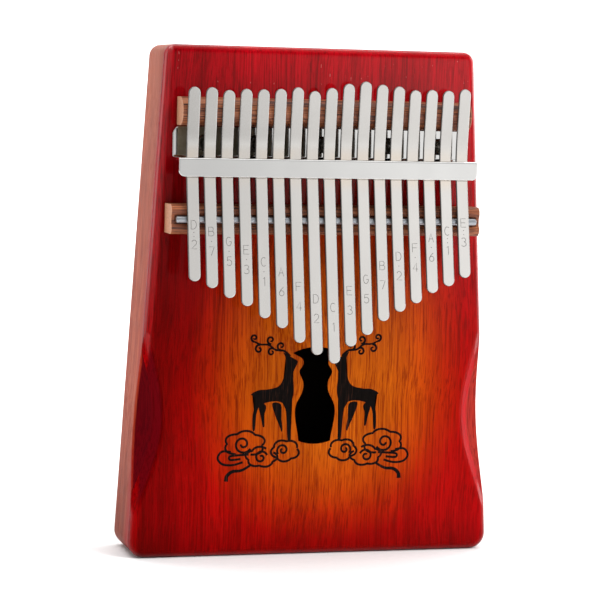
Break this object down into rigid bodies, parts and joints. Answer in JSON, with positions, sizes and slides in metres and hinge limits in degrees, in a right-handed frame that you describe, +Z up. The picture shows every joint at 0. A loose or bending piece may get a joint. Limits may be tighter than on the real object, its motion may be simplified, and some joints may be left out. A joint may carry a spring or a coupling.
{
  "type": "mbira",
  "caption": "Hollow wooden thumb piano whose sprung steel tines are clamped over a saddle rod by a slotted pressure plate, with thumb scoops and a vase-shaped sound hole.",
  "frame": {"origin": "centre of the box's bottom end face, on which it stands", "axes": "+Z up the instrument from the thumbs' end to the tines' tails, +X to the right seen from the front, -Y out of the soundboard towards the player"},
  "size_m": [0.1362, 0.0539, 0.185],
  "materials": {
    "lacquered_wood": "mahogany soundboard, sunburst stain from amber to crimson under gloss lacquer",
    "box_wood": "mahogany, red-brown stain, satin",
    "block_wood": "bare hardwood",
    "bar_wood": "oiled rosewood",
    "tine_steel": "spring steel, nickel plated",
    "plate_steel": "bent steel sheet, nickel plated",
    "rod_steel": "drawn steel rod, satin",
    "screw_black": "black oxide screws"
  },
  "bodies": {
    "sound_box": {"soundboard": "lacquered_wood", "back_board": "box_wood", "side_board_left": "box_wood", "side_board_right": "box_wood", "end_block_bottom": "box_wood", "end_block_top": "box_wood", "screw_block": "block_wood", "upper_bar": "bar_wood", "lower_bar": "bar_wood", "saddle_rod": "rod_steel", "pressure_plate": "plate_steel", "plate_screws": "screw_black"},
    "tine_01": {"tine_01_shank": "tine_steel"},
    "tine_01_tongue": {"tine_01_tongue": "tine_steel"},
    "tine_02": {"tine_02_shank": "tine_steel"},
    "tine_02_tongue": {"tine_02_tongue": "tine_steel"},
    "tine_03": {"tine_03_shank": "tine_steel"},
    "tine_03_tongue": {"tine_03_tongue": "tine_steel"},
    "tine_04": {"tine_04_shank": "tine_steel"},
    "tine_04_tongue": {"tine_04_tongue": "tine_steel"},
    "tine_05": {"tine_05_shank": "tine_steel"},
    "tine_05_tongue": {"tine_05_tongue": "tine_steel"},
    "tine_06": {"tine_06_shank": "tine_steel"},
    "tine_06_tongue": {"tine_06_tongue": "tine_steel"},
    "tine_07": {"tine_07_shank": "tine_steel"},
    "tine_07_tongue": {"tine_07_tongue": "tine_steel"},
    "tine_08": {"tine_08_shank": "tine_steel"},
    "tine_08_tongue": {"tine_08_tongue": "tine_steel"},
    "tine_09": {"tine_09_shank": "tine_steel"},
    "tine_09_tongue": {"tine_09_tongue": "tine_steel"},
    "tine_10": {"tine_10_shank": "tine_steel"},
    "tine_10_tongue": {"tine_10_tongue": "tine_steel"},
    "tine_11": {"tine_11_shank": "tine_steel"},
    "tine_11_tongue": {"tine_11_tongue": "tine_steel"},
    "tine_12": {"tine_12_shank": "tine_steel"},
    "tine_12_tongue": {"tine_12_tongue": "tine_steel"},
    "tine_13": {"tine_13_shank": "tine_steel"},
    "tine_13_tongue": {"tine_13_tongue": "tine_steel"},
    "tine_14": {"tine_14_shank": "tine_steel"},
    "tine_14_tongue": {"tine_14_tongue": "tine_steel"},
    "tine_15": {"tine_15_shank": "tine_steel"},
    "tine_15_tongue": {"tine_15_tongue": "tine_steel"},
    "tine_16": {"tine_16_shank": "tine_steel"},
    "tine_16_tongue": {"tine_16_tongue": "tine_steel"},
    "tine_17": {"tine_17_shank": "tine_steel"},
    "tine_17_tongue": {"tine_17_tongue": "tine_steel"}
  },
  "joints": [
    {"name": "tune_01", "type": "slide", "parent": "sound_box", "child": "tine_01", "axis": [0, 0.0462, 0.9989], "range_m": [-0.001, 0.001]},
    {"name": "pluck_01", "type": "hinge", "parent": "tine_01", "child": "tine_01_tongue", "pos_m": [-0.05016, -0.02855, 0.1237], "axis": [1, 0, 0], "range_deg": [-3, 4], "stiffness_Nm_per_rad": 12.69},
    {"name": "tune_02", "type": "slide", "parent": "sound_box", "child": "tine_02", "axis": [0, 0.0462, 0.9989], "range_m": [-0.001, 0.001]},
    {"name": "pluck_02", "type": "hinge", "parent": "tine_02", "child": "tine_02_tongue", "pos_m": [-0.04389, -0.02855, 0.1237], "axis": [1, 0, 0], "range_deg": [-3, 4], "stiffness_Nm_per_rad": 11.44},
    {"name": "tune_03", "type": "slide", "parent": "sound_box", "child": "tine_03", "axis": [0, 0.0462, 0.9989], "range_m": [-0.001, 0.001]},
    {"name": "pluck_03", "type": "hinge", "parent": "tine_03", "child": "tine_03_tongue", "pos_m": [-0.03762, -0.02855, 0.1237], "axis": [1, 0, 0], "range_deg": [-3, 4], "stiffness_Nm_per_rad": 9.99},
    {"name": "tune_04", "type": "slide", "parent": "sound_box", "child": "tine_04", "axis": [0, 0.0462, 0.9989], "range_m": [-0.001, 0.001]},
    {"name": "pluck_04", "type": "hinge", "parent": "tine_04", "child": "tine_04_tongue", "pos_m": [-0.03135, -0.02855, 0.1237], "axis": [1, 0, 0], "range_deg": [-3, 4], "stiffness_Nm_per_rad": 9.04},
    {"name": "tune_05", "type": "slide", "parent": "sound_box", "child": "tine_05", "axis": [0, 0.0462, 0.9989], "range_m": [-0.001, 0.001]},
    {"name": "pluck_05", "type": "hinge", "parent": "tine_05", "child": "tine_05_tongue", "pos_m": [-0.02508, -0.02855, 0.1237], "axis": [1, 0, 0], "range_deg": [-3, 4], "stiffness_Nm_per_rad": 7.93},
    {"name": "tune_06", "type": "slide", "parent": "sound_box", "child": "tine_06", "axis": [0, 0.0462, 0.9989], "range_m": [-0.001, 0.001]},
    {"name": "pluck_06", "type": "hinge", "parent": "tine_06", "child": "tine_06_tongue", "pos_m": [-0.01881, -0.02855, 0.1237], "axis": [1, 0, 0], "range_deg": [-3, 4], "stiffness_Nm_per_rad": 7.2},
    {"name": "tune_07", "type": "slide", "parent": "sound_box", "child": "tine_07", "axis": [0, 0.0462, 0.9989], "range_m": [-0.001, 0.001]},
    {"name": "pluck_07", "type": "hinge", "parent": "tine_07", "child": "tine_07_tongue", "pos_m": [-0.01254, -0.02855, 0.1237], "axis": [1, 0, 0], "range_deg": [-3, 4], "stiffness_Nm_per_rad": 6.33},
    {"name": "tune_08", "type": "slide", "parent": "sound_box", "child": "tine_08", "axis": [0, 0.0462, 0.9989], "range_m": [-0.001, 0.001]},
    {"name": "pluck_08", "type": "hinge", "parent": "tine_08", "child": "tine_08_tongue", "pos_m": [-0.00627, -0.02855, 0.1237], "axis": [1, 0, 0], "range_deg": [-3, 4], "stiffness_Nm_per_rad": 5.76},
    {"name": "tune_09", "type": "slide", "parent": "sound_box", "child": "tine_09", "axis": [0, 0.0462, 0.9989], "range_m": [-0.001, 0.001]},
    {"name": "pluck_09", "type": "hinge", "parent": "tine_09", "child": "tine_09_tongue", "pos_m": [0, -0.02855, 0.1237], "axis": [1, 0, 0], "range_deg": [-3, 4], "stiffness_Nm_per_rad": 5.41},
    {"name": "tune_10", "type": "slide", "parent": "sound_box", "child": "tine_10", "axis": [0, 0.0462, 0.9989], "range_m": [-0.001, 0.001]},
    {"name": "pluck_10", "type": "hinge", "parent": "tine_10", "child": "tine_10_tongue", "pos_m": [0.00627, -0.02855, 0.1237], "axis": [1, 0, 0], "range_deg": [-3, 4], "stiffness_Nm_per_rad": 6.13},
    {"name": "tune_11", "type": "slide", "parent": "sound_box", "child": "tine_11", "axis": [0, 0.0462, 0.9989], "range_m": [-0.001, 0.001]},
    {"name": "pluck_11", "type": "hinge", "parent": "tine_11", "child": "tine_11_tongue", "pos_m": [0.01254, -0.02855, 0.1237], "axis": [1, 0, 0], "range_deg": [-3, 4], "stiffness_Nm_per_rad": 6.75},
    {"name": "tune_12", "type": "slide", "parent": "sound_box", "child": "tine_12", "axis": [0, 0.0462, 0.9989], "range_m": [-0.001, 0.001]},
    {"name": "pluck_12", "type": "hinge", "parent": "tine_12", "child": "tine_12_tongue", "pos_m": [0.01881, -0.02855, 0.1237], "axis": [1, 0, 0], "range_deg": [-3, 4], "stiffness_Nm_per_rad": 7.68},
    {"name": "tune_13", "type": "slide", "parent": "sound_box", "child": "tine_13", "axis": [0, 0.0462, 0.9989], "range_m": [-0.001, 0.001]},
    {"name": "pluck_13", "type": "hinge", "parent": "tine_13", "child": "tine_13_tongue", "pos_m": [0.02508, -0.02855, 0.1237], "axis": [1, 0, 0], "range_deg": [-3, 4], "stiffness_Nm_per_rad": 8.47},
    {"name": "tune_14", "type": "slide", "parent": "sound_box", "child": "tine_14", "axis": [0, 0.0462, 0.9989], "range_m": [-0.001, 0.001]},
    {"name": "pluck_14", "type": "hinge", "parent": "tine_14", "child": "tine_14_tongue", "pos_m": [0.03135, -0.02855, 0.1237], "axis": [1, 0, 0], "range_deg": [-3, 4], "stiffness_Nm_per_rad": 9.35},
    {"name": "tune_15", "type": "slide", "parent": "sound_box", "child": "tine_15", "axis": [0, 0.0462, 0.9989], "range_m": [-0.001, 0.001]},
    {"name": "pluck_15", "type": "hinge", "parent": "tine_15", "child": "tine_15_tongue", "pos_m": [0.03762, -0.02855, 0.1237], "axis": [1, 0, 0], "range_deg": [-3, 4], "stiffness_Nm_per_rad": 10.69},
    {"name": "tune_16", "type": "slide", "parent": "sound_box", "child": "tine_16", "axis": [0, 0.0462, 0.9989], "range_m": [-0.001, 0.001]},
    {"name": "pluck_16", "type": "hinge", "parent": "tine_16", "child": "tine_16_tongue", "pos_m": [0.04389, -0.02855, 0.1237], "axis": [1, 0, 0], "range_deg": [-3, 4], "stiffness_Nm_per_rad": 11.84},
    {"name": "tune_17", "type": "slide", "parent": "sound_box", "child": "tine_17", "axis": [0, 0.0462, 0.9989], "range_m": [-0.001, 0.001]},
    {"name": "pluck_17", "type": "hinge", "parent": "tine_17", "child": "tine_17_tongue", "pos_m": [0.05016, -0.02855, 0.1237], "axis": [1, 0, 0], "range_deg": [-3, 4], "stiffness_Nm_per_rad": 13.61}
  ]
}
